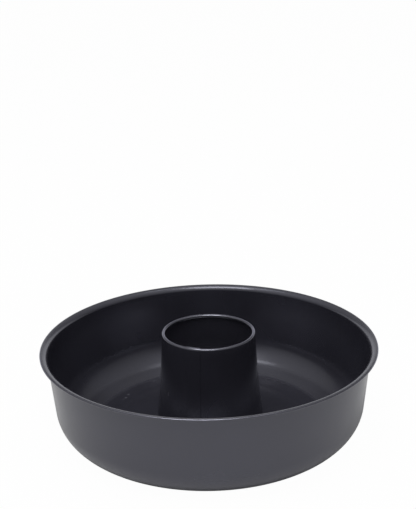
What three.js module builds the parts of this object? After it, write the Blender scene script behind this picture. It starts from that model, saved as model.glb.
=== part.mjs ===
// Ring cake tin: a pressed steel shell with a wired, rolled rim, and a lap-seamed conical tube
// that is locked into the middle of the base by a rolled seam.
// Millimetres, +Z up. The tin stands on z = 0 with its axis on Z, and its front faces -Y.
import * as THREE from 'three';

const degrees = THREE.MathUtils.degToRad;

// Driving dimensions of the shell. A short flank rises from the edge of the flat base to the corner
// under the wall.
const RIM_DIAMETER = 260;
const SHELL_HEIGHT = 72;
const SHELL_SHEET = 0.4;
const WALL_DRAFT = degrees(5.4);
const CORNER_RADIUS = 26;
const FLANK_RISE = degrees(25);
const BASE_DIAMETER = 192;
const BASE_BEND_RADIUS = 10;
const STAND_RING_WIDTH = 16;
const DISH_BLEND_RADIUS = 40;

// Driving dimensions of the rolled rim and the wire in it
const WIRE_DIAMETER = 0.8;
const WIRE_CLEARANCE = 0.1;
const WIRE_END_GAP = 1;
const RIM_BEND_RADIUS = 4.3;
const RIM_FLAT = 0.3;
const RIM_ROLL = degrees(265);

// Driving dimensions of the tube. Both diameters are outside, at the top edge and at the table, and the
// side flares between them on an arc.
const TUBE_HEIGHT = 79.9;
const TUBE_TOP_DIAMETER = 72.5;
const TUBE_FOOT_DIAMETER = 86.1;
const TUBE_FLARE_RADIUS = 850;
const TUBE_SHEET = 0.5;
const TUBE_CURL_DIAMETER = 2.6;
const TUBE_CURL_GAP = 0.3;

// Driving dimensions of the lap in the tube. Its outer layer ends in a cut edge left of the front.
const LAP_EDGE_ANGLE = degrees(-10.5);
const LAP_WIDTH = 9;
const LAP_JOGGLE = 5;
const LAP_NOTCH = 4;
const CUT_EDGE = 0.15;

// Driving dimensions of the rolled seam between the tube and the base
const SEAM_CLEARANCE = 0.2;
const SEAM_LIFT = 0.4;
const SEAM_HOOK = 0.6;
const COLLAR_BEND_RADIUS = 0.5;

// How far a flat facet may stand off the true round, in a section and round the axis
const SECTION_TOLERANCE = 0.07;
const ROUND_TOLERANCE = 0.16;
const JOGGLE_FACETS = 4;

const FULL_TURN = 2 * Math.PI;
const shellHalf = SHELL_SHEET / 2;
const tubeHalf = TUBE_SHEET / 2;
const rimRadius = RIM_DIAMETER / 2;

// Every quarter of the round has the same number of facets
const facets = 4 * arcSteps(rimRadius, FULL_TURN / 4, ROUND_TOLERANCE);
const facetTurn = FULL_TURN / facets;

// The rim bead is rolled round the wire
const beadRadius = WIRE_DIAMETER / 2 + WIRE_CLEARANCE + shellHalf;
const beadCentre = new THREE.Vector2(
  rimRadius - beadRadius - shellHalf,
  SHELL_HEIGHT - beadRadius - shellHalf,
);

// The side of the tube is an arc about a centre far outside it, in the (radius, height) plane
const flareCentre = tubeFlareCentre();

// The seam: the foot of the tube turns round the edge of the collar and hooks up behind it
const hookRadius = tubeHalf + SEAM_CLEARANCE + shellHalf;
const collarEdge = besideTube(SEAM_LIFT + tubeHalf + hookRadius, SEAM_CLEARANCE + shellHalf);
const offCollar = flareCentre.clone().sub(collarEdge).normalize();
const alongCollar = new THREE.Vector2(-offCollar.y, offCollar.x);
const hookEnd = collarEdge.clone()
  .addScaledVector(offCollar, hookRadius)
  .addScaledVector(alongCollar, SEAM_HOOK);
const dishHeight = hookEnd.y + SEAM_CLEARANCE + COLLAR_BEND_RADIUS + shellHalf;

// The centre of the arc that runs through the foot and the top of the tube's side.
function tubeFlareCentre() {
  const foot = new THREE.Vector2(TUBE_FOOT_DIAMETER / 2, 0);
  const chord = new THREE.Vector2(TUBE_TOP_DIAMETER / 2, TUBE_HEIGHT).sub(foot);
  const off = new THREE.Vector2(chord.y, -chord.x).normalize();
  const reach = Math.sqrt(TUBE_FLARE_RADIUS ** 2 - chord.lengthSq() / 4);
  return foot.addScaledVector(chord, 0.5).addScaledVector(off, reach);
}

// A point at a height and at a distance off the outside of the tube's side.
function besideTube(height, distance) {
  const radius = TUBE_FLARE_RADIUS - distance;
  const rise = height - flareCentre.y;
  return new THREE.Vector2(flareCentre.x - Math.sqrt(radius ** 2 - rise ** 2), height);
}

// How many straight steps follow an arc within a tolerance.
function arcSteps(radius, sweep, tolerance) {
  const step = 2 * Math.acos(1 - tolerance / radius);
  return Math.max(2, Math.ceil(Math.abs(sweep) / step));
}

// Stations along an arc of a sheet's middle line. Each has its point and the direction to its left.
function arc(centre, radius, from, sweep) {
  const steps = arcSteps(radius, sweep, SECTION_TOLERANCE);
  const stations = [];
  for (let k = 0; k <= steps; k += 1) {
    const angle = from + sweep * k / steps;
    const out = new THREE.Vector2(Math.cos(angle), Math.sin(angle));
    const point = centre.clone().addScaledVector(out, radius);
    stations.push({ point, left: out.multiplyScalar(-Math.sign(sweep)) });
  }
  return stations;
}

// A bend of a sheet's middle line where two straight stretches would meet in a corner.
function bend(before, corner, after, radius) {
  const incoming = corner.clone().sub(before).normalize();
  const outgoing = after.clone().sub(corner).normalize();
  const turn = Math.atan2(incoming.cross(outgoing), incoming.dot(outgoing));
  const start = corner.clone().addScaledVector(incoming, -radius * Math.tan(Math.abs(turn) / 2));
  const left = new THREE.Vector2(-incoming.y, incoming.x);
  const centre = start.clone().addScaledVector(left, Math.sign(turn) * radius);
  return arc(centre, radius, start.clone().sub(centre).angle(), turn);
}

// A station on a straight stretch that runs along a direction.
function straight(point, direction) {
  return { point, left: new THREE.Vector2(-direction.y, direction.x) };
}

// Where the line of the wall, down from the rim, meets the line of the flank, out from the base.
function wallFoot(rimCorner, baseCorner) {
  const wall = new THREE.Vector2(Math.sin(WALL_DRAFT), Math.cos(WALL_DRAFT));
  const flank = new THREE.Vector2(Math.cos(FLANK_RISE), Math.sin(FLANK_RISE));
  const length = rimCorner.clone().sub(baseCorner).cross(flank) / wall.cross(flank);
  return rimCorner.clone().addScaledVector(wall, -length);
}

// The middle line of the shell, from the edge of the collar to the end of the rolled rim.
function shellLine() {
  const wallTurn = Math.PI / 2 - WALL_DRAFT;
  const rimTop = SHELL_HEIGHT - shellHalf;
  const rimBend = RIM_BEND_RADIUS + shellHalf;
  const beadTop = new THREE.Vector2(beadCentre.x, rimTop);
  const rimCorner = beadTop.clone();
  rimCorner.x -= RIM_FLAT + rimBend * Math.tan(wallTurn / 2);
  const baseCorner = new THREE.Vector2(BASE_DIAMETER / 2, shellHalf);
  const baseBend = BASE_BEND_RADIUS - shellHalf;
  const heel = wallFoot(rimCorner, baseCorner);
  const standEdge = baseCorner.clone();
  standEdge.x -= baseBend * Math.tan(FLANK_RISE / 2) + STAND_RING_WIDTH;
  const collarTop = besideTube(dishHeight, SEAM_CLEARANCE + shellHalf);
  return [
    straight(collarEdge, alongCollar),
    ...bend(collarEdge, collarTop, standEdge, COLLAR_BEND_RADIUS + shellHalf),
    ...bend(collarTop, standEdge, baseCorner, DISH_BLEND_RADIUS),
    ...bend(standEdge, baseCorner, heel, baseBend),
    ...bend(baseCorner, heel, rimCorner, CORNER_RADIUS - shellHalf),
    ...bend(heel, rimCorner, beadTop, rimBend),
    ...arc(beadCentre, beadRadius, Math.PI / 2, -Math.PI / 2),
    ...arc(beadCentre, beadRadius, 0, Math.PI / 2 - RIM_ROLL).slice(1),
  ];
}

// The middle line of the tube, from the end of the hook under the base to the end of the top curl.
// A lapped station is one that the lap's outer layer reaches: from above the notch at the foot to
// the inner side of the curl.
function tubeLine() {
  const curlOuter = TUBE_CURL_DIAMETER / 2;
  const curlCentre = besideTube(TUBE_HEIGHT - curlOuter, -curlOuter);
  const topLean = flareCentre.clone().sub(curlCentre).angle();
  const curlRoll = FULL_TURN - Math.acos((curlOuter - TUBE_SHEET - TUBE_CURL_GAP) / curlOuter);
  const curl = arc(curlCentre, curlOuter - tubeHalf, topLean, curlRoll).slice(1);
  const lappedCurl = curl.length * Math.PI / curlRoll;
  const notchTop = besideTube(dishHeight + LAP_NOTCH, -tubeHalf);
  const notchEdge = notchTop.clone().addScaledVector(alongCollar, -CUT_EDGE);
  const notchLean = flareCentre.clone().sub(notchTop).angle();
  const flare = arc(flareCentre, TUBE_FLARE_RADIUS + tubeHalf, Math.PI + notchLean, topLean - notchLean);
  return [
    straight(hookEnd, alongCollar.clone().negate()),
    ...arc(collarEdge, hookRadius, offCollar.angle(), -Math.PI),
    straight(notchEdge, alongCollar),
    ...flare.map((station) => ({ ...station, lapped: true })),
    ...curl.map((station, k) => ({ ...station, lapped: k < lappedCurl })),
  ];
}

// The closed outline of a sheet's section, anticlockwise. Where the section is lapped, its outer and
// inner faces are lifted outwards.
function outline(stations, half, outerLift = 0, innerLift = 0) {
  const beside = ({ point, left }, distance) => point.clone().addScaledVector(left, distance);
  const outer = stations.map((station) => beside(station, -half - (station.lapped ? outerLift : 0)));
  const inner = stations.map((station) => beside(station, half - (station.lapped ? innerLift : 0)));
  return [...outer, ...inner.reverse()];
}

// Even turns from one to another, no further apart than a spacing.
function spread(from, to, spacing) {
  const steps = Math.ceil((to - from) / spacing);
  return Array.from({ length: steps + 1 }, (_, k) => from + (to - from) * k / steps);
}

// A place at an angle round the axis: 0 is the front, and positive turns to the right of it.
function roundAxis(radius, angle, height) {
  return new THREE.Vector3(radius * Math.sin(angle), -radius * Math.cos(angle), height);
}

// The sections of the tube round its axis. Leftwards from the cut edge come the lap of two layers, the
// joggle where the outer layer steps back in, and the single sheet round to the cut edge again.
function tubeSections() {
  const topRadius = TUBE_TOP_DIAMETER / 2;
  const lap = LAP_WIDTH / topRadius;
  const joggleEnd = lap + LAP_JOGGLE / topRadius;
  const cut = CUT_EDGE / topRadius;
  const line = tubeLine();
  const turns = [
    ...spread(0, lap, facetTurn),
    ...spread(lap + cut, joggleEnd, (joggleEnd - lap) / JOGGLE_FACETS),
    ...spread(joggleEnd + facetTurn, FULL_TURN - cut, facetTurn),
  ];
  return turns.reverse().map((turn) => {
    const joggled = TUBE_SHEET * (1 - THREE.MathUtils.smoothstep(turn, lap, joggleEnd));
    const innerLift = turn > lap ? joggled : 0;
    return { angle: LAP_EDGE_ANGLE - turn, points: outline(line, tubeHalf, joggled, innerLift) };
  });
}

// The sections of the rim wire, which runs once round the rim with its ends butting at the back.
function wireSections() {
  const radius = WIRE_DIAMETER / 2;
  const sides = arcSteps(radius, FULL_TURN, SECTION_TOLERANCE);
  const points = Array.from({ length: sides }, (_, k) => {
    const turn = FULL_TURN * k / sides;
    return beadCentre.clone().add(new THREE.Vector2(radius * Math.cos(turn), radius * Math.sin(turn)));
  });
  const halfGap = WIRE_END_GAP / 2 / beadCentre.x;
  const turns = Array.from({ length: facets + 1 }, (_, k) => k * facetTurn);
  turns[0] += halfGap;
  turns[facets] -= halfGap;
  return turns.map((turn) => ({ angle: Math.PI + turn, points }));
}

// A solid lofted through sections that stand round the axis: a closed ring, or one with flat ends.
function loftRound(sections, closed) {
  const count = sections[0].points.length;
  const spans = closed ? sections.length : sections.length - 1;
  const positions = sections.flatMap(({ angle, points }) => (
    points.flatMap((point) => roundAxis(point.x, angle, point.y).toArray())
  ));
  const index = [];
  for (let span = 0; span < spans; span += 1) {
    const here = span * count;
    const next = ((span + 1) % sections.length) * count;
    for (let j = 0; j < count; j += 1) {
      const after = (j + 1) % count;
      index.push(here + j, next + j, here + after);
      index.push(next + after, here + after, next + j);
    }
  }
  if (!closed) {
    const last = spans * count;
    for (const [a, b, c] of THREE.ShapeUtils.triangulateShape(sections[0].points, [])) {
      index.push(a, b, c, last + c, last + b, last + a);
    }
  }
  const geometry = new THREE.BufferGeometry();
  geometry.setAttribute('position', new THREE.Float32BufferAttribute(positions, 3));
  geometry.setIndex(index);
  geometry.computeVertexNormals();
  return geometry;
}

// The shell is its section turned once round the axis.
function shellGeometry() {
  const points = outline(shellLine(), shellHalf);
  return new THREE.LatheGeometry([...points, points[0]], facets).rotateX(Math.PI / 2);
}

function piece(name, geometry, material) {
  const mesh = new THREE.Mesh(geometry, material);
  mesh.name = name;
  return mesh;
}

const nonStickCoating = new THREE.MeshStandardMaterial({ color: 0x2f3034, roughness: 0.38, metalness: 0.1 });
const steelWire = new THREE.MeshStandardMaterial({ color: 0x9a9b9e, roughness: 0.35, metalness: 1 });

const tin = new THREE.Group();
tin.add(
  piece('pan_shell', shellGeometry(), nonStickCoating),
  piece('centre_tube', loftRound(tubeSections(), true), nonStickCoating),
  piece('rim_wire', loftRound(wireSections(), false), steelWire),
);

export default tin;
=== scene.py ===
"""Ring cake tin of pressed steel with a glossy non-stick coating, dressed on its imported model.

Metres, +Z up. The tin stands on z = 0 with its axis on Z, and its front faces -Y.
"""
import logging
import math
from dataclasses import dataclass, field
from enum import Enum
from typing import Any

import bmesh
import bpy
import numpy as np
from mathutils import Matrix, Vector


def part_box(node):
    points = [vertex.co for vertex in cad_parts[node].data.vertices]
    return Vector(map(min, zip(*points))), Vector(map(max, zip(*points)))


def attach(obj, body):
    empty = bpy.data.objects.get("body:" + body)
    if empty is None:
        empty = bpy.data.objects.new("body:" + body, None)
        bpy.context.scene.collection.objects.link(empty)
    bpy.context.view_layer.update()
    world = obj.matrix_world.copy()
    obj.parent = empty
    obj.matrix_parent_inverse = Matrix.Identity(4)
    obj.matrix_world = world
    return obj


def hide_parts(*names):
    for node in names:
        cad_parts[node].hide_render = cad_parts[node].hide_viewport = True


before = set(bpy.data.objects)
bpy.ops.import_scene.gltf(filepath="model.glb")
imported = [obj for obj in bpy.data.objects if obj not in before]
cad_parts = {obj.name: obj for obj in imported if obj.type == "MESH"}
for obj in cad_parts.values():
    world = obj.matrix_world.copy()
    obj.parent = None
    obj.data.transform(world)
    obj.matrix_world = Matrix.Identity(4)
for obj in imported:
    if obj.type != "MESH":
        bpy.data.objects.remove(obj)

# Short names for the types that most functions take
Socket = bpy.types.NodeSocket
Tree = bpy.types.NodeTree

MM = 0.001
FULL_TURN = 2 * math.pi
QUARTER_TURN = math.pi / 2

# The photograph's frame, in pixels
PHOTO_WIDTH = 416
PHOTO_HEIGHT = 509

# How finely the sheets are drawn: the most that a step may stand off an arc, the longest straight step, and
# the steps once round the axis
ARC_TOLERANCE = 0.004 * MM
RUN_STEP = 4 * MM
ROUND_SEGMENTS = 256

# Points that are closer than this are one
MERGE_DISTANCE = 0.001 * MM

# A cut edge of sheet is softened by this much, and the steps across it
EDGE_SOFTENING = 0.12 * MM
EDGE_STEPS = 4

# A bend marked for wear and painted highlight counts as fully tight at this radius or less, but for a fade
# over this share of it at each end, and the attribute that holds the tightness
TIGHTEST_BEND = 1.2 * MM
BEND_FADE = 0.15
TIGHTNESS = "bend_tightness"

# The coating's relief: how deep its orange peel and the marks of the press are
PEEL_DEPTH = 0.001 * MM
MARK_DEPTH = 0.001 * MM

# The marks of the press: the arm that turns an angle round the axis into a width, how slowly they change up
# the sides, and how much they count beside the patches in the gloss
MARK_ARM = 110 * MM
MARK_STRETCH = 0.06
MARK_SHARE = 0.5

# Where the sum of patches and marks gives the least and the most roughness
PATCHY_LOW = 0.5
PATCHY_HIGH = 1.0

# How many finer layers each noise pattern has, and between which values it mostly lies
CLOUD_DETAIL = 1.0
MARK_DETAIL = 2.0
RUB_AND_HIGHLIGHT_DETAIL = 3.0
PEEL_DETAIL = 1.0
SPOT_DETAIL = 2.0
NOISE_LOW = 0.3
NOISE_HIGH = 0.7

WHITE = (1.0, 1.0, 1.0, 1.0)

# Faces that meet at more than this angle keep a crisp edge
CRISP_ANGLE = math.radians(40)

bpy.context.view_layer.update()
log = logging.getLogger("ring_cake_tin")


def hex_to_linear(code: str) -> tuple[float, float, float, float]:
    """Turn an sRGB hex colour into linear light.

    Args:
        code: Six hex digits, with or without a leading #.

    Returns:
        Linear red, green, blue and an alpha of 1.
    """
    digits = code.lstrip("#")
    shares = [int(digits[k:k + 2], 16) / 255 for k in (0, 2, 4)]
    linear = [s / 12.92 if s <= 0.04045 else ((s + 0.055) / 1.055) ** 2.4 for s in shares]
    return (*linear, 1.0)


def add_node(tree: Tree, kind: str, inputs: dict[str, Any], **settings: Any) -> bpy.types.Node:
    """Add a node to a tree with its settings and links.

    Args:
        tree: The tree that gets the node.
        kind: The node's type name.
        inputs: What goes into each input, by the socket's identifier: an output socket or a value.
        **settings: The node's own properties.

    Returns:
        The new node.
    """
    node = tree.nodes.new(kind)
    for name, value in settings.items():
        setattr(node, name, value)
    sockets = {socket.identifier: socket for socket in node.inputs}
    for identifier, value in inputs.items():
        if isinstance(value, Socket):
            tree.links.new(value, sockets[identifier])
        else:
            sockets[identifier].default_value = value
    return node


def grain(size_mm: float) -> float:
    """The texture scale, in Object coordinates, at which a pattern's features are this many millimetres."""
    return 1 / (size_mm * MM)


def blend(tree: Tree, operation: str, first: Any, second: Any) -> Socket:
    """Work out one number from two.

    Args:
        tree: The tree to add to.
        operation: The sum to do.
        first: An output to link, or a number.
        second: The same.

    Returns:
        The result.
    """
    node = add_node(tree, "ShaderNodeMath", {"Value": first, "Value_001": second}, operation=operation)
    return node.outputs[0]


def noise(tree: Tree, coords: Socket, size_mm: float, detail: float) -> Socket:
    """A noise pattern.

    Args:
        tree: The tree to add to.
        coords: The coordinates.
        size_mm: The width of a spot.
        detail: How many finer layers it has.

    Returns:
        The pattern's value.
    """
    node = add_node(tree, "ShaderNodeTexNoise", {"Vector": coords, "Scale": grain(size_mm), "Detail": detail})
    return node.outputs[0]


def shade(tree: Tree, amount: Socket, under: Any, code: str) -> Socket:
    """Lay a colour over another by an amount.

    Args:
        tree: The tree to add to.
        amount: How much of the new colour shows, from 0 to 1.
        under: The colour under it, as an output to link or as linear light.
        code: The new colour, in hex.

    Returns:
        The mixed colour.
    """
    mixed = {"Factor_Float": amount, "A_Color": under, "B_Color": hex_to_linear(code)}
    return add_node(tree, "ShaderNodeMix", mixed, data_type="RGBA").outputs["Result"]


def new_material(name: str) -> bpy.types.Material:
    """Start a node material with an empty tree.

    Args:
        name: The material's name.

    Returns:
        The material.
    """
    material = bpy.data.materials.new(name)
    material.use_nodes = True
    material.node_tree.nodes.clear()
    return material


class Turn(Enum):
    """Which way a sheet's middle line bends as it is followed outwards from its first edge."""

    LEFT = 1
    RIGHT = -1


@dataclass(frozen=True)
class Station:
    """A place on a sheet's middle line, in the plane of radius and height.

    Attributes:
        point: Radius and height.
        left: The direction to the left of the line.
        tightness: How tight the bend is, 0 on a straight stretch to 1, which sets bare steel and painted
            highlight.
        lapped: Whether the outer layer of a lap reaches this place.
    """

    point: Vector
    left: Vector
    tightness: float = 0.0
    lapped: bool = False


@dataclass
class SheetLine:
    """The middle line of a sheet's section, from one cut edge to the other.

    Attributes:
        stations: The places along it.
    """

    stations: list[Station] = field(default_factory=list)

    def run_to(self, point: Vector, direction: Vector, lapped: bool = False) -> None:
        """Run straight to a point.

        Args:
            point: Where the stretch ends.
            direction: The way that it runs.
            lapped: Whether the lap's outer layer covers the stretch.
        """
        left = direction.normalized().orthogonal()
        if self.stations:
            start = self.stations[-1].point
            steps = math.ceil((point - start).length / RUN_STEP)
            for k in range(1, steps):
                self.stations.append(Station(start.lerp(point, k / steps), left, 0.0, lapped))
        self.stations.append(Station(point, left, 0.0, lapped))

    def arc(
        self, centre: Vector, radius: float, start: float, sweep: float, lapped_sweep: float = 0.0,
        rubbed_and_lit: bool = True,
    ) -> None:
        """Follow an arc, after a straight run to its start.

        Args:
            centre: The arc's centre.
            radius: The radius of the middle line.
            start: The angle at which it starts.
            sweep: How far it goes; positive turns left.
            lapped_sweep: How far along it the lap's outer layer reaches.
            rubbed_and_lit: Whether hands and racks wear it to bare steel, also standing in as a painted
                highlight.
        """
        turn = Turn.LEFT if sweep > 0 else Turn.RIGHT
        # A marked bend's tightness sets its bare steel, which is partly wear and partly painted highlight
        tightness = min(1.0, TIGHTEST_BEND / radius) if rubbed_and_lit else 0.0
        step = 2 * math.acos(1 - ARC_TOLERANCE / radius)
        steps = max(2, math.ceil(abs(sweep) / step))
        for k in range(steps + 1):
            angle = start + sweep * k / steps
            out = Vector((math.cos(angle), math.sin(angle)))
            lapped = abs(sweep) * k / steps < lapped_sweep
            fade = min(1.0, min(k, steps - k) / steps / BEND_FADE)
            station = Station(centre + out * radius, out * -turn.value, tightness * fade, lapped)
            if k == 0 and self.stations:
                # The last station of the run gives way to the first of the arc
                self.run_to(station.point, station.point - self.stations[-1].point, lapped)
                self.stations.pop()
            self.stations.append(station)

    def bend(self, before: Vector, corner: Vector, after: Vector, radius: float) -> None:
        """Bend round a corner between two straight stretches.

        Args:
            before: A point on the stretch that comes in.
            corner: Where the two stretches would meet.
            after: A point on the stretch that goes out.
            radius: The radius of the middle line.
        """
        incoming = (corner - before).normalized()
        outgoing = (after - corner).normalized()
        turn = math.atan2(incoming.cross(outgoing), incoming.dot(outgoing))
        start = corner - incoming * radius * math.tan(abs(turn) / 2)
        centre = start + incoming.orthogonal() * math.copysign(radius, turn)
        out = start - centre
        self.arc(centre, radius, math.atan2(out.y, out.x), turn)

    def outline(self, half: float, outer_lift: float = 0.0, inner_lift: float = 0.0) -> list[Vector]:
        """The closed outline of the sheet, anticlockwise, with its cut edges softened.

        Args:
            half: Half of the sheet's thickness.
            outer_lift: How far a lapped stretch's outer face is lifted outwards.
            inner_lift: How far a lapped stretch's inner face is lifted outwards.

        Returns:
            Points of radius and height.
        """
        outer = [s.point - s.left * (half + outer_lift * s.lapped) for s in self.stations]
        inner = [s.point + s.left * (half - inner_lift * s.lapped) for s in self.stations]
        far = self._edge(self.stations[-1], half, 1)
        near = self._edge(self.stations[0], half, -1)
        return outer + far + inner[::-1] + near

    @staticmethod
    def _edge(station: Station, half: float, way: int) -> list[Vector]:
        """The softened cut edge at one end of the line.

        Args:
            station: The end station.
            half: Half of the sheet's thickness.
            way: 1 at the far end of the line, -1 at its start.

        Returns:
            Points across the edge, from the outer face at the far end and from the inner face at the start.
        """
        ahead = Vector((station.left.y, -station.left.x)) * way
        points = []
        for k in range(1, EDGE_STEPS):
            angle = (k / EDGE_STEPS - 0.5) * math.pi
            across = station.left * half * math.sin(angle) * way
            points.append(station.point + across + ahead * EDGE_SOFTENING * math.cos(angle))
        return points

    def tightnesses(self) -> list[float]:
        """How tight the bend is along the outline.

        Returns:
            A value for each of its points, in the same order.
        """
        along = [s.tightness for s in self.stations]
        # Cut edges count as fully tight, so they get bare steel and painted highlight too
        edge = [1.0] * (EDGE_STEPS - 1)
        return along + edge + along[::-1] + edge


def closed_normals(mesh: bpy.types.Mesh) -> None:
    """Merge doubles, turn all faces outwards, and shade the mesh smooth but for its crisp edges.

    Args:
        mesh: A closed mesh.
    """
    shape = bmesh.new()
    shape.from_mesh(mesh)
    bmesh.ops.remove_doubles(shape, verts=shape.verts, dist=MERGE_DISTANCE)
    bmesh.ops.recalc_face_normals(shape, faces=shape.faces)
    shape.to_mesh(mesh)
    shape.free()
    mesh.shade_smooth()
    mesh.set_sharp_from_angle(angle=CRISP_ANGLE)


def place(name: str, mesh: bpy.types.Mesh) -> bpy.types.Object:
    """Put a mesh into the scene as an object at the origin.

    Args:
        name: The piece's name.
        mesh: Its mesh, already in place.

    Returns:
        The new object.
    """
    piece = bpy.data.objects.new(name, mesh)
    bpy.context.scene.collection.objects.link(piece)
    return piece


def run_tree(piece: bpy.types.Object, tree: Tree, values: dict[str, Any]) -> None:
    """Run a Geometry Nodes tree on a piece and keep its result as the piece's plain mesh.

    Args:
        piece: The object whose mesh is the tree's input.
        tree: The tree.
        values: The tree's inputs, by name.
    """
    modifier = piece.modifiers.new(tree.name, "NODES")
    modifier.node_group = tree
    for item in tree.interface.items_tree:
        if item.in_out == "INPUT" and item.name in values:
            modifier[item.identifier] = values[item.name]
    evaluated = piece.evaluated_get(bpy.context.evaluated_depsgraph_get())
    mesh = bpy.data.meshes.new_from_object(evaluated)
    mesh.name = piece.name
    piece.modifiers.clear()
    piece.data = mesh
    closed_normals(mesh)


def new_tree(name: str, inputs: dict[str, str]) -> tuple[Tree, bpy.types.Node]:
    """Start a Geometry Nodes tree with named inputs and one geometry output.

    Args:
        name: The tree's name.
        inputs: Socket types by input name.

    Returns:
        The tree and its input node.
    """
    tree = bpy.data.node_groups.new(name, "GeometryNodeTree")
    for socket_name, kind in inputs.items():
        tree.interface.new_socket(socket_name, in_out="INPUT", socket_type=kind)
    tree.interface.new_socket("Geometry", in_out="OUTPUT", socket_type="NodeSocketGeometry")
    return tree, add_node(tree, "NodeGroupInput", {})


def end_tree(tree: Tree, shape: Socket, material: Socket) -> None:
    """End a Geometry Nodes tree: realize what is instanced and set the material.

    Args:
        tree: The tree.
        shape: The geometry to give out.
        material: The material input.
    """
    real = add_node(tree, "GeometryNodeRealizeInstances", {"Geometry": shape})
    dressed = add_node(tree, "GeometryNodeSetMaterial", {"Geometry": real.outputs[0], "Material": material})
    output = tree.nodes.new("NodeGroupOutput")
    tree.links.new(dressed.outputs[0], output.inputs[0])


@dataclass(frozen=True)
class Speck:
    """A light speck in a coating, where the steel or a crumb of the coating catches the light.

    Attributes:
        place_mm: Where it is.
        radius_mm: How far it reaches.
        strength: How strongly it shows, from 0 to 1.
    """

    place_mm: tuple[float, float, float]
    radius_mm: float
    strength: float


# The specks that the photograph shows, on the base and on the side of the tube
SHELL_SPECKS = (
    Speck(place_mm=(-69.8, 53.9, 0.4), radius_mm=1.8, strength=0.3),
    Speck(place_mm=(-71.5, 48.0, 0.4), radius_mm=1.8, strength=0.35),
    Speck(place_mm=(-73.4, 45.1, 0.4), radius_mm=1.3, strength=0.2),
)
TUBE_SPECKS = (
    Speck(place_mm=(-31.6, -22.5, 38.4), radius_mm=0.9, strength=0.3),
    Speck(place_mm=(-31.7, -22.6, 37.2), radius_mm=0.9, strength=0.3),
)


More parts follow.
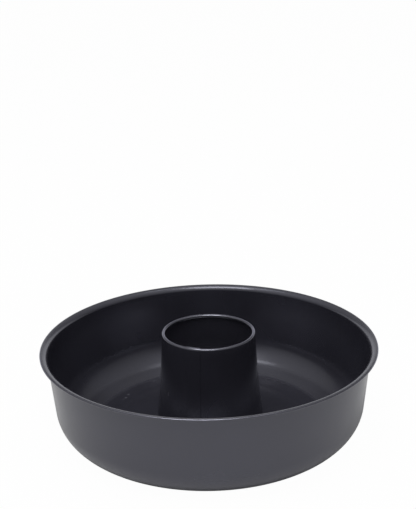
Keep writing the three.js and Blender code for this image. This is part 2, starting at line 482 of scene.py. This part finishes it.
@dataclass(frozen=True)
class NonStickCoating:
    """Silicone-polyester non-stick coating, rolled onto steel sheet and baked before it is pressed.

    It gives the eye a blue-black gloss that mirrors the studio as soft grey bands. Up close it has a fine
    orange peel, cloudy patches, faint marks of the press up the sides, tight bends of bare metallic grey that
    are partly wear and partly a painted highlight, and a few light specks.

    Attributes:
        name: The material's name.
        specks: The specks that it has.
        body: The colour of the coating.
        cloud: The colour of its paler patches.
        burnish_highlight: The colour of bare steel on a tight bend, which also stands in as a painted
            highlight.
        sheen: The tint of what it mirrors.
        speck: The colour of a speck.
        roughness: The middle of its roughness.
        roughness_spread: How far the patches and marks take the roughness up and down from there.
        bare_and_lit_least: The least share of bare steel and painted highlight on the tightest bend.
        ior: The refractive index, raised by the metal pigment in the resin.
        peel_mm: The width of a bump of the orange peel.
        cloud_mm: The width of a patch.
        rub_and_highlight_mm: The width of a spot of bare steel and painted highlight on a bend.
        mark_mm: The width of a mark of the press.
    """

    name: str
    specks: tuple[Speck, ...] = ()
    body: str = "#29282f"
    cloud: str = "#31313a"
    burnish_highlight: str = "#7c7c86"
    sheen: str = "#f0f1ff"
    speck: str = "#85858c"
    roughness: float = 0.21
    roughness_spread: float = 0.04
    bare_and_lit_least: float = 0.7
    ior: float = 1.85
    peel_mm: float = 1.8
    cloud_mm: float = 38
    rub_and_highlight_mm: float = 4
    mark_mm: float = 6

    def build(self) -> bpy.types.Material:
        """Build the node material.

        Returns:
            The material.
        """
        material = new_material(self.name)
        tree = material.node_tree
        coords = add_node(tree, "ShaderNodeTexCoord", {}).outputs["Object"]
        clouds = noise(tree, coords, self.cloud_mm, CLOUD_DETAIL)
        marks = noise(tree, self._up_the_sides(tree, coords), self.mark_mm, MARK_DETAIL)
        patchy = blend(tree, "ADD", clouds, blend(tree, "MULTIPLY", marks, MARK_SHARE))
        bare_and_lit = self._bare_steel_and_highlight(tree, coords)
        spread = self.roughness_spread
        gloss = add_node(
            tree, "ShaderNodeMapRange",
            {"Value": patchy, "From Min": PATCHY_LOW, "From Max": PATCHY_HIGH,
             "To Min": self.roughness - spread, "To Max": self.roughness + spread},
        ).outputs[0]
        # Marked bends get metallic bare steel, partly wear and partly a painted highlight on the rim and curl
        shader = add_node(
            tree, "ShaderNodeBsdfPrincipled",
            {"Base Color": self._colour(tree, coords, clouds, bare_and_lit), "Metallic": bare_and_lit, "Roughness": gloss,
             "IOR": self.ior, "Specular Tint": hex_to_linear(self.sheen),
             "Normal": self._relief(tree, coords, marks)},
        )
        add_node(tree, "ShaderNodeOutputMaterial", {"Surface": shader.outputs[0]})
        return material

    @staticmethod
    def _up_the_sides(tree: Tree, coords: Socket) -> Socket:
        """Coordinates that are stretched up the sides and out along the base, as the press draws the sheet.

        Args:
            tree: The material's tree.
            coords: Object coordinates.

        Returns:
            The stretched coordinates.
        """
        xyz = add_node(tree, "ShaderNodeSeparateXYZ", {"Vector": coords}).outputs
        angle = blend(tree, "ARCTAN2", xyz["X"], blend(tree, "MULTIPLY", xyz["Y"], -1.0))
        around = blend(tree, "MULTIPLY", angle, MARK_ARM)
        up = blend(tree, "MULTIPLY", xyz["Z"], MARK_STRETCH)
        return add_node(tree, "ShaderNodeCombineXYZ", {"X": around, "Z": up}).outputs[0]

    def _bare_steel_and_highlight(self, tree: Tree, coords: Socket) -> Socket:
        """How far the coating is thinned to bare steel, also a painted highlight: on tight bends, in spots.

        Args:
            tree: The material's tree.
            coords: Object coordinates.

        Returns:
            The share of bare steel and painted highlight.
        """
        bends = add_node(tree, "ShaderNodeAttribute", {}, attribute_name=TIGHTNESS).outputs["Fac"]
        spots = noise(tree, coords, self.rub_and_highlight_mm, RUB_AND_HIGHLIGHT_DETAIL)
        rubbed_and_lit = add_node(
            tree, "ShaderNodeMapRange",
            {"Value": spots, "From Min": NOISE_LOW, "From Max": NOISE_HIGH, "To Min": self.bare_and_lit_least},
        ).outputs[0]
        return blend(tree, "MULTIPLY", bends, rubbed_and_lit)

    def _colour(self, tree: Tree, coords: Socket, clouds: Socket, bare_and_lit: Socket) -> Socket:
        """The coating's colour: body with cloudy patches, bends lit as wear and painted highlight, and a few
        specks.

        Args:
            tree: The material's tree.
            coords: Object coordinates.
            clouds: The cloud pattern.
            bare_and_lit: The share of bare steel and painted highlight.

        Returns:
            The colour output.
        """
        # The bends' lighter steel colour is partly wear and partly painted highlight
        shades = [(clouds, self.cloud), (bare_and_lit, self.burnish_highlight)]
        for speck in self.specks:
            middle = [side * MM for side in speck.place_mm]
            off = add_node(
                tree, "ShaderNodeVectorMath", {"Vector": coords, "Vector_001": middle}, operation="DISTANCE"
            ).outputs["Value"]
            near = add_node(
                tree, "ShaderNodeMapRange",
                {"Value": off, "From Min": speck.radius_mm * MM, "From Max": 0.0, "To Max": speck.strength},
            ).outputs[0]
            shades.append((near, self.speck))
        colour: Any = hex_to_linear(self.body)
        for amount, code in shades:
            colour = shade(tree, amount, colour, code)
        return colour

    def _relief(self, tree: Tree, coords: Socket, marks: Socket) -> Socket:
        """The coating's relief: orange peel, and the marks of the press.

        Args:
            tree: The material's tree.
            coords: Object coordinates.
            marks: The pattern of the marks.

        Returns:
            The normal output.
        """
        peel = noise(tree, coords, self.peel_mm, PEEL_DETAIL)
        drawn = add_node(
            tree, "ShaderNodeBump", {"Height": marks, "Strength": 1.0, "Distance": MARK_DEPTH}
        ).outputs[0]
        return add_node(
            tree, "ShaderNodeBump", {"Height": peel, "Strength": 1.0, "Distance": PEEL_DEPTH, "Normal": drawn}
        ).outputs[0]


@dataclass(frozen=True)
class DrawnSteelWire:
    """Bright mild steel wire, drawn through a die.

    It gives the eye a mid grey metal with fine duller spots.

    Attributes:
        name: The material's name.
        steel: The colour of the steel.
        dull: The colour of its duller spots.
        roughness: The roughness.
        spot_mm: The width of a spot.
    """

    name: str = "drawn_steel_wire"
    steel: str = "#b4b5b8"
    dull: str = "#98999d"
    roughness: float = 0.32
    spot_mm: float = 0.6

    def build(self) -> bpy.types.Material:
        """Build the node material.

        Returns:
            The material.
        """
        material = new_material(self.name)
        tree = material.node_tree
        coords = add_node(tree, "ShaderNodeTexCoord", {}).outputs["Object"]
        spots = noise(tree, coords, self.spot_mm, SPOT_DETAIL)
        colour = shade(tree, spots, hex_to_linear(self.dull), self.steel)
        shader = add_node(
            tree, "ShaderNodeBsdfPrincipled",
            {"Base Color": colour, "Metallic": 1.0, "Roughness": self.roughness},
        )
        add_node(tree, "ShaderNodeOutputMaterial", {"Surface": shader.outputs[0]})
        return material


@dataclass(frozen=True)
class FootSeam:
    """The rolled seam at the foot of the tube: the tube's foot turns round the edge of the shell's collar.

    Attributes:
        foot_radius: The radius of the tube's outside, carried down to the table.
        top_radius: The radius of the tube's outside at its top.
        tube_height: The height of the tube's top.
        flare_radius: The radius of the arc on which the tube's side flares out towards the foot.
        tube_sheet: The thickness of the tube.
        shell_sheet: The thickness of the shell.
        clearance: The gap between the layers of the seam.
        lift: The gap under the seam.
        hook: How far the hook goes up behind the collar.
        collar_bend: The inner radius of the bend from the collar to the base.
    """

    foot_radius: float = 43.05 * MM
    top_radius: float = 36.25 * MM
    tube_height: float = 79.89 * MM
    flare_radius: float = 850 * MM
    tube_sheet: float = 0.5 * MM
    shell_sheet: float = 0.4 * MM
    clearance: float = 0.2 * MM
    lift: float = 0.4 * MM
    hook: float = 0.6 * MM
    collar_bend: float = 0.5 * MM

    @property
    def flare_centre(self) -> Vector:
        """The centre of the arc that the tube's side follows, far outside the tube.

        Returns:
            Radius and height.
        """
        foot = Vector((self.foot_radius, 0))
        chord = Vector((self.top_radius, self.tube_height)) - foot
        off = Vector((chord.y, -chord.x)).normalized()
        return foot + chord / 2 + off * math.sqrt(self.flare_radius ** 2 - chord.length_squared / 4)

    @property
    def off(self) -> Vector:
        """The direction square off the tube's side at the collar."""
        return (self.flare_centre - self.collar_edge).normalized()

    @property
    def along(self) -> Vector:
        """The direction up the tube's side at the collar."""
        return self.off.orthogonal()

    @property
    def hook_radius(self) -> float:
        """The radius of the hook's middle line."""
        return self.tube_sheet / 2 + self.clearance + self.shell_sheet / 2

    @property
    def collar_edge(self) -> Vector:
        """The lower end of the collar's middle line, which the hook turns round."""
        height = self.lift + self.tube_sheet / 2 + self.hook_radius
        return self.beside(height, self.clearance + self.shell_sheet / 2)

    @property
    def hook_end(self) -> Vector:
        """The end of the hook's middle line, behind the collar."""
        return self.collar_edge + self.off * self.hook_radius + self.along * self.hook

    @property
    def dish_height(self) -> float:
        """The height of the base's middle line where it meets the collar."""
        return self.hook_end.y + self.clearance + self.collar_bend + self.shell_sheet / 2

    def beside(self, height: float, distance: float) -> Vector:
        """A point at a height and a distance off the outside of the tube's side.

        Args:
            height: The height above the table.
            distance: How far the point lies off the side; negative is inside.

        Returns:
            Radius and height.
        """
        centre = self.flare_centre
        radius = self.flare_radius - distance
        return Vector((centre.x - math.sqrt(radius ** 2 - (height - centre.y) ** 2), height))

    def lean(self, point: Vector) -> float:
        """How far the tube's side leans in from upright beside a point.

        Args:
            point: Radius and height.

        Returns:
            The lean in radians.
        """
        out = self.flare_centre - point
        return math.atan2(out.y, out.x)


@dataclass(frozen=True)
class RimBead:
    """The rolled rim and the wire in it, in the plane of radius and height.

    Attributes:
        centre: The centre of the wire and of the roll.
        wire_radius: The radius of the wire.
        clearance: The gap round the wire.
        roll: How far the rim is rolled round the wire.
        rubbed_and_lit: How much of the roll, from the top, hands and racks wear to bare steel, also a painted
            highlight.
        flat: The width of the level top between the wall's bend and the roll.
        bend: The inner radius of the bend from the wall to the level top.
    """

    centre: Vector
    wire_radius: float = 0.4 * MM
    clearance: float = 0.1 * MM
    roll: float = math.radians(265)
    rubbed_and_lit: float = math.radians(75)
    flat: float = 0.3 * MM
    bend: float = 4.3 * MM


@dataclass(frozen=True)
class PanShell:
    """The pressed shell: rolled rim, wall, rounded corner, sloping flank and dished base, in one sheet.

    Attributes:
        seam: The seam that holds the tube.
        bead: The rolled rim.
        height: The height of the rim's top.
        draft: How far the wall leans out from upright.
        corner_radius: The outer radius of the corner between the wall and the flank.
        flank_rise: How steeply the flank rises from the edge of the base to the corner.
        base_radius: The radius at which the line of the flank meets the base.
        base_bend: The outer radius of the bend there.
        stand_width: The width of the level ring that the tin stands on.
        dish_blend: The radius of the blend from that ring to the dished middle.
        name: The piece's name.
    """

    seam: FootSeam
    bead: RimBead
    height: float
    draft: float = math.radians(5.4)
    corner_radius: float = 26 * MM
    flank_rise: float = math.radians(25)
    base_radius: float = 96 * MM
    base_bend: float = 10 * MM
    stand_width: float = 16 * MM
    dish_blend: float = 40 * MM
    name: str = "coated_shell"

    def line(self) -> SheetLine:
        """Draw the middle line of the sheet.

        Returns:
            The line from the edge of the collar to the end of the rolled rim.
        """
        half = self.seam.shell_sheet / 2
        wall_turn = QUARTER_TURN - self.draft
        bead_radius = self.bead.wire_radius + self.bead.clearance + half
        rim_bend = self.bead.bend + half
        base_bend = self.base_bend - half
        bead_top = Vector((self.bead.centre.x, self.height - half))
        rim_corner = bead_top - Vector((self.bead.flat + rim_bend * math.tan(wall_turn / 2), 0))
        base_corner = Vector((self.base_radius, half))
        heel = self.wall_foot(rim_corner, base_corner)
        stand_edge = base_corner - Vector((base_bend * math.tan(self.flank_rise / 2) + self.stand_width, 0))
        collar_top = self.seam.beside(self.seam.dish_height, self.seam.clearance + half)
        line = SheetLine()
        line.run_to(self.seam.collar_edge, self.seam.along)
        line.bend(self.seam.collar_edge, collar_top, stand_edge, self.seam.collar_bend + half)
        line.bend(collar_top, stand_edge, base_corner, self.dish_blend)
        line.bend(stand_edge, base_corner, heel, base_bend)
        line.bend(base_corner, heel, rim_corner, self.corner_radius - half)
        line.bend(heel, rim_corner, bead_top, rim_bend)
        # Only the top of the roll gets bare steel and painted highlight; its underside stays plain coating
        under = self.bead.roll - self.bead.rubbed_and_lit
        line.arc(self.bead.centre, bead_radius, QUARTER_TURN, -self.bead.rubbed_and_lit)
        line.arc(self.bead.centre, bead_radius, QUARTER_TURN - self.bead.rubbed_and_lit, -under, rubbed_and_lit=False)
        return line

    def wall_foot(self, rim_corner: Vector, base_corner: Vector) -> Vector:
        """Where the line of the wall, down from the rim, meets the line of the flank, out from the base.

        Args:
            rim_corner: The upper end of the wall's line.
            base_corner: The inner end of the flank's line.

        Returns:
            The point where they meet.
        """
        wall = Vector((math.sin(self.draft), math.cos(self.draft)))
        flank = Vector((math.cos(self.flank_rise), math.sin(self.flank_rise)))
        length = (rim_corner - base_corner).cross(flank) / wall.cross(flank)
        return rim_corner - wall * length

    def section_mesh(self, path_radius: float) -> bpy.types.Mesh:
        """The section as a loop of edges, set off from the path that it is swept along.

        Args:
            path_radius: The radius of the path.

        Returns:
            A mesh of edges in its own XY plane, as a sweep takes it: X is outwards and Y is down.
        """
        line = self.line()
        points = line.outline(self.seam.shell_sheet / 2)
        mesh = bpy.data.meshes.new(self.name)
        edges = [(k, (k + 1) % len(points)) for k in range(len(points))]
        mesh.from_pydata([(p.x - path_radius, -p.y, 0) for p in points], edges, [])
        tightness = mesh.attributes.new(TIGHTNESS, "FLOAT", "POINT")
        tightness.data.foreach_set("value", line.tightnesses())
        return mesh

    @staticmethod
    def turning_tree() -> Tree:
        """Build the tree that turns a section once round the axis.

        Returns:
            The tree.
        """
        tree, given = new_tree("turned_section", {
            "Geometry": "NodeSocketGeometry", "Path Radius": "NodeSocketFloat",
            "Segments": "NodeSocketInt", "Material": "NodeSocketMaterial",
        })
        section = add_node(tree, "GeometryNodeMeshToCurve", {"Mesh": given.outputs["Geometry"]})
        circle = add_node(
            tree, "GeometryNodeCurvePrimitiveCircle",
            {"Resolution": given.outputs["Segments"], "Radius": given.outputs["Path Radius"]},
        )
        path = add_node(tree, "GeometryNodeSetCurveNormal", {"Curve": circle.outputs[0]}, mode="Z_UP")
        turned = add_node(
            tree, "GeometryNodeCurveToMesh", {"Curve": path.outputs[0], "Profile Curve": section.outputs[0]}
        )
        end_tree(tree, turned.outputs[0], given.outputs["Material"])
        return tree

    def build(self, coating: bpy.types.Material) -> bpy.types.Object:
        """Build the shell, dress it and put it in the place of its solid.

        Args:
            coating: The material of the sheet.

        Returns:
            The finished piece.
        """
        path_radius = self.bead.centre.x
        shell = place(self.name, self.section_mesh(path_radius))
        run_tree(shell, self.turning_tree(), {
            "Path Radius": path_radius, "Segments": ROUND_SEGMENTS, "Material": coating,
        })
        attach(shell, "root")
        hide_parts("pan_shell")
        return shell


@dataclass(frozen=True)
class CentreTube:
    """The conical tube: a sheet rolled round, lapped left of the front, curled in at the top.

    Attributes:
        seam: The seam at its foot, which also holds its main sizes.
        curl_diameter: The outer diameter of the curl.
        curl_gap: The gap between the curl's end and the tube's side.
        lap_edge: The angle of the lap's cut edge from the front; negative is left.
        lap_width: The width of the lap.
        joggle: The width over which the outer layer steps back in.
        notch: The height above the base at which the outer layer starts.
        cut_edge: The width of the step down the cut edge.
        edge_round: The radius of the soft corner above that step.
        name: The piece's name.
    """

    seam: FootSeam
    curl_diameter: float = 2.6 * MM
    curl_gap: float = 0.3 * MM
    lap_edge: float = math.radians(-10.5)
    lap_width: float = 9 * MM
    joggle: float = 5 * MM
    notch: float = 4 * MM
    cut_edge: float = 0.1 * MM
    edge_round: float = 0.2 * MM
    name: str = "coated_tube"

    def line(self) -> SheetLine:
        """Draw the middle line of the sheet.

        Returns:
            The line from the end of the hook to the end of the curl.
        """
        seam = self.seam
        half = seam.tube_sheet / 2
        outer = self.curl_diameter / 2
        centre = seam.beside(seam.tube_height - outer, -outer)
        roll = FULL_TURN - math.acos((outer - seam.tube_sheet - self.curl_gap) / outer)
        notch_top = seam.beside(seam.dish_height + self.notch, -half)
        notch_lean, top_lean = seam.lean(notch_top), seam.lean(centre)
        flare = top_lean - notch_lean
        line = SheetLine()
        line.run_to(seam.hook_end, -seam.along)
        line.arc(seam.collar_edge, seam.hook_radius, seam.lean(seam.collar_edge), -math.pi)
        line.run_to(notch_top - seam.along * self.cut_edge, seam.along)
        side = seam.flare_radius + half
        line.arc(seam.flare_centre, side, math.pi + notch_lean, flare, lapped_sweep=math.pi)
        # The curl's tight bend gets bare steel, which is also a painted highlight round the tube's top
        line.arc(centre, outer - half, top_lean, roll, lapped_sweep=math.pi)
        return line

    def lifts(self, turn: float) -> tuple[float, float]:
        """How far the lapped stretch is lifted at a turn leftwards from the cut edge.

        Args:
            turn: The turn in radians; a little below a full turn is right of the edge.

        Returns:
            The lift of the outer face and of the inner face.
        """
        sheet = self.seam.tube_sheet
        way = turn * self.seam.top_radius
        if way < self.edge_round:
            short = self.edge_round - way
            return sheet - self.edge_round + math.sqrt(self.edge_round ** 2 - short ** 2), 0.0
        share = min(1.0, max(0.0, (way - self.lap_width) / self.joggle))
        stepped = sheet * (1 - share * share * (3 - 2 * share))
        return stepped, stepped if way > self.lap_width else 0.0

    def turns(self) -> list[float]:
        """List where round the tube its section is drawn.

        Returns:
            The turns leftwards from the cut edge.
        """
        step = FULL_TURN / ROUND_SEGMENTS
        radius = self.seam.top_radius
        lap = self.lap_width / radius
        end = lap + self.joggle / radius
        soft = self.edge_round / radius
        stretches = [
            np.linspace(0, soft, EDGE_STEPS, endpoint=False),
            np.arange(soft, lap, step),
            [lap],
            np.linspace(lap + self.cut_edge / radius, end, 2 * EDGE_STEPS, endpoint=False),
            np.arange(end, FULL_TURN - step, step),
            [FULL_TURN - self.cut_edge / radius],
        ]
        return [float(turn) for stretch in stretches for turn in stretch]

    def build(self, coating: bpy.types.Material) -> bpy.types.Object:
        """Build the tube, dress it and put it in the place of its solid.

        Args:
            coating: The material of the sheet.

        Returns:
            The finished piece.
        """
        line = self.line()
        half = self.seam.tube_sheet / 2
        vertices = []
        turns = self.turns()
        for turn in turns:
            angle = self.lap_edge - turn
            for point in line.outline(half, *self.lifts(turn)):
                vertices.append((point.x * math.sin(angle), -point.x * math.cos(angle), point.y))
        tightness = line.tightnesses()
        count = len(tightness)
        faces = []
        for k in range(len(turns)):
            here, after = k * count, (k + 1) % len(turns) * count
            for j in range(count):
                beside = (j + 1) % count
                faces.append((here + j, here + beside, after + beside, after + j))
        mesh = bpy.data.meshes.new(self.name)
        mesh.from_pydata(vertices, [], faces)
        attribute = mesh.attributes.new(TIGHTNESS, "FLOAT", "POINT")
        attribute.data.foreach_set("value", tightness * len(turns))
        mesh.materials.append(coating)
        closed_normals(mesh)
        tube = place(self.name, mesh)
        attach(tube, "root")
        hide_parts("centre_tube")
        return tube


@dataclass(frozen=True)
class RimWire:
    """The stiffening wire in the rolled rim, which runs once round with its ends butting at the back.

    Attributes:
        bead: The rolled rim that holds it.
        end_gap: The gap between its ends.
        sides: The steps round the wire.
        name: The piece's name.
    """

    bead: RimBead
    end_gap: float = 1 * MM
    sides: int = 24
    name: str = "stiffening_wire"

    @staticmethod
    def bending_tree() -> Tree:
        """Build the tree that bends a round wire into an open ring.

        Returns:
            The tree.
        """
        tree, given = new_tree("open_wire_ring", {
            "Geometry": "NodeSocketGeometry", "Ring Radius": "NodeSocketFloat",
            "Wire Radius": "NodeSocketFloat", "Height": "NodeSocketVector",
            "Start": "NodeSocketFloat", "Sweep": "NodeSocketFloat",
            "Segments": "NodeSocketInt", "Sides": "NodeSocketInt", "Material": "NodeSocketMaterial",
        })
        path = add_node(
            tree, "GeometryNodeCurveArc",
            {"Resolution": given.outputs["Segments"], "Radius": given.outputs["Ring Radius"],
             "Start Angle": given.outputs["Start"], "Sweep Angle": given.outputs["Sweep"]},
        )
        section = add_node(
            tree, "GeometryNodeCurvePrimitiveCircle",
            {"Resolution": given.outputs["Sides"], "Radius": given.outputs["Wire Radius"]},
        )
        wire = add_node(
            tree, "GeometryNodeCurveToMesh",
            {"Curve": path.outputs[0], "Profile Curve": section.outputs[0], "Fill Caps": True},
        )
        raised = add_node(
            tree, "GeometryNodeTransform",
            {"Geometry": wire.outputs[0], "Translation": given.outputs["Height"]},
        )
        end_tree(tree, raised.outputs[0], given.outputs["Material"])
        return tree

    def build(self, steel: bpy.types.Material) -> bpy.types.Object:
        """Build the wire, dress it and put it in the place of its solid.

        Args:
            steel: The material of the wire.

        Returns:
            The finished piece.
        """
        ring_radius = self.bead.centre.x
        gap = self.end_gap / ring_radius
        wire = place(self.name, bpy.data.meshes.new(self.name))
        run_tree(wire, self.bending_tree(), {
            "Ring Radius": ring_radius, "Wire Radius": self.bead.wire_radius,
            "Height": (0.0, 0.0, self.bead.centre.y),
            "Start": QUARTER_TURN + gap / 2, "Sweep": FULL_TURN - gap,
            "Segments": ROUND_SEGMENTS, "Sides": self.sides, "Material": steel,
        })
        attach(wire, "root")
        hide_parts("rim_wire")
        return wire


@dataclass(frozen=True)
class Softbox:
    """A soft lamp that faces the tin.

    Attributes:
        name: The lamp's name.
        azimuth: Where it stands round the tin, in degrees; 0 is the front and positive is right.
        elevation: How high it stands, in degrees.
        distance: How far off it stands.
        size: Its width and height.
        radiance: How bright its face is, where 1 is white.
    """

    name: str
    azimuth: float
    elevation: float
    distance: float
    size: tuple[float, float]
    radiance: float

    def build(self) -> None:
        """Build the lamp."""
        lamp = bpy.data.lights.new(self.name, "AREA")
        lamp.shape = "RECTANGLE"
        lamp.size, lamp.size_y = self.size
        lamp.energy = self.radiance * math.pi * lamp.size * lamp.size_y
        turn, rise = math.radians(self.azimuth), math.radians(self.elevation)
        out = Vector((math.sin(turn) * math.cos(rise), -math.cos(turn) * math.cos(rise), math.sin(rise)))
        holder = bpy.data.objects.new(self.name, lamp)
        holder.location = out * self.distance
        holder.rotation_mode = "QUATERNION"
        holder.rotation_quaternion = out.to_track_quat("Z", "Y")
        bpy.context.scene.collection.objects.link(holder)


@dataclass(frozen=True)
class Studio:
    """A white table in a dim room, under a big softbox high in front and a small one on each side.

    Attributes:
        floor: The colour of the floor.
        floor_size: The width of the floor.
        glow_seen: How much of the floor's white is its own to the camera, the rest taking the shadow.
        backdrop_rise: How high the white wall behind the table reaches, as a share of how far off it stands.
        backdrop_mirrored: How bright that wall is in mirrors, where 1 is white.
        room_low: How bright the room is at the height of the table.
        room_high: How bright it is overhead.
        room_lean: By what share it is brighter on the left and in front, and dimmer on the right and behind.
        softboxes: The lamps.
    """

    floor: str = "#fafafa"
    floor_size: float = 80
    glow_seen: float = 0.98
    backdrop_rise: float = 0.45
    backdrop_mirrored: float = 0.8
    room_low: float = 0.05
    room_high: float = 0.54
    room_lean: tuple[float, float] = (0.25, 0.45)
    softboxes: tuple[Softbox, ...] = (
        Softbox("high_softbox", azimuth=-15, elevation=68, distance=2.2, size=(1.2, 1.2), radiance=4.5),
        Softbox("left_softbox", azimuth=-102, elevation=70, distance=2.2, size=(0.3, 0.3), radiance=3.4),
        Softbox("right_softbox", azimuth=118, elevation=74, distance=2.2, size=(0.3, 0.3), radiance=2.3),
    )

    def build(self) -> None:
        """Build the floor, the surroundings and the lamps."""
        self._floor()
        self._world()
        for softbox in self.softboxes:
            softbox.build()
        bpy.context.scene.view_settings.view_transform = "Standard"

    def _floor(self) -> None:
        """Build the floor, which keeps the tin's shadow."""
        half = self.floor_size / 2
        mesh = bpy.data.meshes.new("table")
        corners = [(-half, -half, 0), (half, -half, 0), (half, half, 0), (-half, half, 0)]
        mesh.from_pydata(corners, [], [(0, 1, 2, 3)])
        mesh.materials.append(self._floor_material())
        place("table", mesh)

    def _floor_material(self) -> bpy.types.Material:
        """Build a matt white that mostly glows where the camera sees it, and keeps a faint shadow.

        Returns:
            The material.
        """
        material = new_material("matt_white_table")
        tree = material.node_tree
        seen = add_node(tree, "ShaderNodeLightPath", {}).outputs["Is Camera Ray"]
        glow = blend(tree, "MULTIPLY", seen, self.glow_seen)
        matt = add_node(tree, "ShaderNodeBsdfDiffuse", {"Color": hex_to_linear(self.floor)}).outputs[0]
        white = add_node(tree, "ShaderNodeEmission", {"Strength": 1.0}).outputs[0]
        mixed = tree.nodes.new("ShaderNodeMixShader")
        for source, socket in zip((glow, matt, white), mixed.inputs):
            tree.links.new(source, socket)
        add_node(tree, "ShaderNodeOutputMaterial", {"Surface": mixed.outputs[0]})
        return material

    def _world(self) -> None:
        """Build the room: white to the camera, else dim, with a white wall behind that mirrors show."""
        world = bpy.data.worlds.new("white_studio")
        world.use_nodes = True
        tree = world.node_tree
        tree.nodes.clear()
        rays = add_node(tree, "ShaderNodeLightPath", {}).outputs
        direction = add_node(tree, "ShaderNodeTexCoord", {}).outputs["Generated"]
        way = add_node(tree, "ShaderNodeSeparateXYZ", {"Vector": direction}).outputs
        room = add_node(
            tree, "ShaderNodeMapRange", {"Value": way["Z"], "To Min": self.room_low, "To Max": self.room_high}
        ).outputs[0]
        for side, lean in zip(("X", "Y"), self.room_lean):
            share = blend(tree, "SUBTRACT", 1.0, blend(tree, "MULTIPLY", way[side], lean))
            room = blend(tree, "MULTIPLY", room, share)
        mirrored = blend(tree, "MAXIMUM", rays["Is Glossy Ray"], rays["Is Transmission Ray"])
        behind = blend(tree, "LESS_THAN", way["Z"], blend(tree, "MULTIPLY", way["Y"], self.backdrop_rise))
        wall = blend(tree, "MULTIPLY", blend(tree, "MULTIPLY", mirrored, behind), self.backdrop_mirrored)
        strength = blend(tree, "MAXIMUM", blend(tree, "MAXIMUM", room, wall), rays["Is Camera Ray"])
        background = add_node(tree, "ShaderNodeBackground", {"Color": WHITE, "Strength": strength})
        add_node(tree, "ShaderNodeOutputWorld", {"Surface": background.outputs[0]})
        bpy.context.scene.world = world


@dataclass(frozen=True)
class PhotoCamera:
    """The camera at the photograph's viewing angle.

    Attributes:
        target: The middle of the rim.
        elevation: How high the camera stands above the target, in degrees.
        distance: How far it stands from the target.
        roll: How far the frame is turned, in degrees.
        focal_pixels: The focal length in the photograph's pixels.
        target_column: The pixel column at which the photograph shows the target.
        target_row: The pixel row at which it shows it.
        reach: How far the camera sees.
    """

    target: Vector
    elevation: float = 23.1
    distance: float = 717.6 * MM
    roll: float = -1.29
    focal_pixels: float = 918.7
    target_column: float = 204.8
    target_row: float = 340.15
    reach: float = 200

    def build(self) -> None:
        """Build the camera and make it the scene's."""
        data = bpy.data.cameras.new("photo_camera")
        data.lens = self.focal_pixels * data.sensor_width / PHOTO_HEIGHT
        data.clip_end = self.reach
        rise, roll = math.radians(self.elevation), math.radians(self.roll)
        out = Vector((0, -math.cos(rise), math.sin(rise)))
        aside = Vector((self.target_column - PHOTO_WIDTH / 2, self.target_row - PHOTO_HEIGHT / 2))
        aside.rotate(Matrix.Rotation(roll, 2))
        seen = Vector((aside.x, -aside.y, self.focal_pixels)).normalized()
        aim = (-out).to_track_quat("-Z", "Y").to_matrix()
        aim @= Matrix.Rotation(math.atan2(seen.x, seen.z), 3, "Y")
        aim @= Matrix.Rotation(-math.asin(seen.y), 3, "X")
        aim @= Matrix.Rotation(roll, 3, "Z")
        camera = bpy.data.objects.new("photo_camera", data)
        camera.matrix_world = Matrix.Translation(self.target + out * self.distance) @ aim.to_4x4()
        bpy.context.scene.collection.objects.link(camera)
        bpy.context.scene.camera = camera


def report(piece: bpy.types.Object) -> None:
    """Log a piece's size and face count.

    Args:
        piece: The finished piece.
    """
    size = ", ".join(f"{side / MM:.1f}" for side in piece.dimensions)
    log.info("%s: %s mm, %d faces", piece.name, size, len(piece.data.polygons))


def main() -> None:
    """Build the tin, the studio and the camera."""
    logging.basicConfig(level=logging.INFO, format="%(message)s")
    wire_low, wire_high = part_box("rim_wire")
    shell_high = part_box("pan_shell")[1]
    bead = RimBead(Vector((wire_high.x - RimBead.wire_radius, (wire_low.z + wire_high.z) / 2)))
    seam = FootSeam()
    shell_coating = NonStickCoating("gloss_nonstick_shell", SHELL_SPECKS)
    tube_coating = NonStickCoating("gloss_nonstick_tube", TUBE_SPECKS)
    report(PanShell(seam, bead, shell_high.z).build(shell_coating.build()))
    report(CentreTube(seam).build(tube_coating.build()))
    report(RimWire(bead).build(DrawnSteelWire().build()))
    Studio().build()
    PhotoCamera(Vector((0, 0, shell_high.z))).build()


if __name__ == "__main__":
    main()
